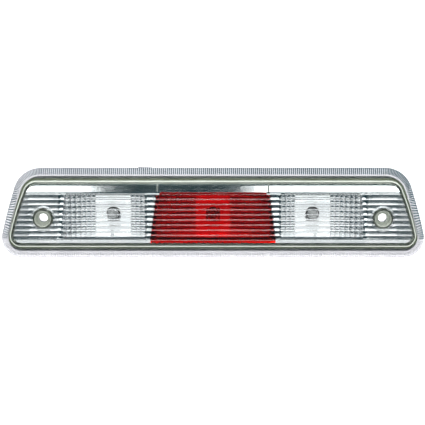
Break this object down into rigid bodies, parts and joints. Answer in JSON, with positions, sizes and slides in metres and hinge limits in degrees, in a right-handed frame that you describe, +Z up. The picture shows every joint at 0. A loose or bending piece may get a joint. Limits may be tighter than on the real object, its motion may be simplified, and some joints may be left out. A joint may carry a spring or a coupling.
{
  "type": "third brake light",
  "caption": "Cab-mounted third brake light: red stop lamp between clear cargo lamps, chromed reflectors, rear housing with twist-lock bulb sockets and foam gasket.",
  "frame": {"origin": "centre of the mounting plane, where the foam gasket's rear face meets the cab panel, midway up and across the lens outline", "axes": "+X to the right seen from the front, along the lamp's length; +Y into the cab, so the lens faces -Y; +Z up"},
  "size_m": [0.3924, 0.0543, 0.0848],
  "materials": {
    "clear_lens": "polished clear polycarbonate",
    "red_lens": "polished transparent red acrylic",
    "chrome_plating": "bright vacuum-metallised plastic",
    "housing_plastic": "light grey moulded plastic, fine satin grain",
    "foam": "closed-cell foam, matt",
    "seal_rubber": "moulded rubber, matt",
    "socket_plastic": "natural off-white moulded nylon, satin",
    "bulb_glass": "clear blown glass",
    "filament_metal": "drawn wire",
    "contact_brass": "bright pressed brass"
  },
  "bodies": {
    "lamp": {"outer_lens": "clear_lens", "housing": "housing_plastic", "perimeter_gasket": "foam", "reflector_bezel": "chrome_plating", "brake_filter": "red_lens", "brake_reflector": "chrome_plating", "left_cargo_reflector": "chrome_plating", "right_cargo_reflector": "chrome_plating", "left_screw_hole_seal": "foam", "left_vent_cap": "seal_rubber", "right_screw_hole_seal": "foam", "right_vent_cap": "seal_rubber"},
    "brake_socket_assembly": {"brake_socket": "socket_plastic", "brake_socket_seal": "seal_rubber", "brake_wire_seal": "seal_rubber", "brake_bulb_glass": "bulb_glass", "brake_bulb_filament": "filament_metal", "brake_contact_a": "contact_brass", "brake_contact_b": "contact_brass"},
    "left_cargo_socket_assembly": {"left_cargo_socket": "socket_plastic", "left_cargo_socket_seal": "seal_rubber", "left_cargo_wire_seal": "seal_rubber", "left_cargo_bulb_glass": "bulb_glass", "left_cargo_bulb_filament": "filament_metal", "left_cargo_contact_a": "contact_brass", "left_cargo_contact_b": "contact_brass"},
    "right_cargo_socket_assembly": {"right_cargo_socket": "socket_plastic", "right_cargo_socket_seal": "seal_rubber", "right_cargo_wire_seal": "seal_rubber", "right_cargo_bulb_glass": "bulb_glass", "right_cargo_bulb_filament": "filament_metal", "right_cargo_contact_a": "contact_brass", "right_cargo_contact_b": "contact_brass"}
  },
  "joints": [
    {"name": "brake_socket_turn", "type": "hinge", "parent": "lamp", "child": "brake_socket_assembly", "pos_m": [0, 0.0287, -0.00285], "axis": [0, 1, 0], "range_deg": [0, 45]},
    {"name": "left_cargo_socket_turn", "type": "hinge", "parent": "lamp", "child": "left_cargo_socket_assembly", "pos_m": [-0.093, 0.0287, -0.00285], "axis": [0, 1, 0], "range_deg": [0, 45]},
    {"name": "right_cargo_socket_turn", "type": "hinge", "parent": "lamp", "child": "right_cargo_socket_assembly", "pos_m": [0.093, 0.0287, -0.00285], "axis": [0, 1, 0], "range_deg": [0, 45]}
  ]
}
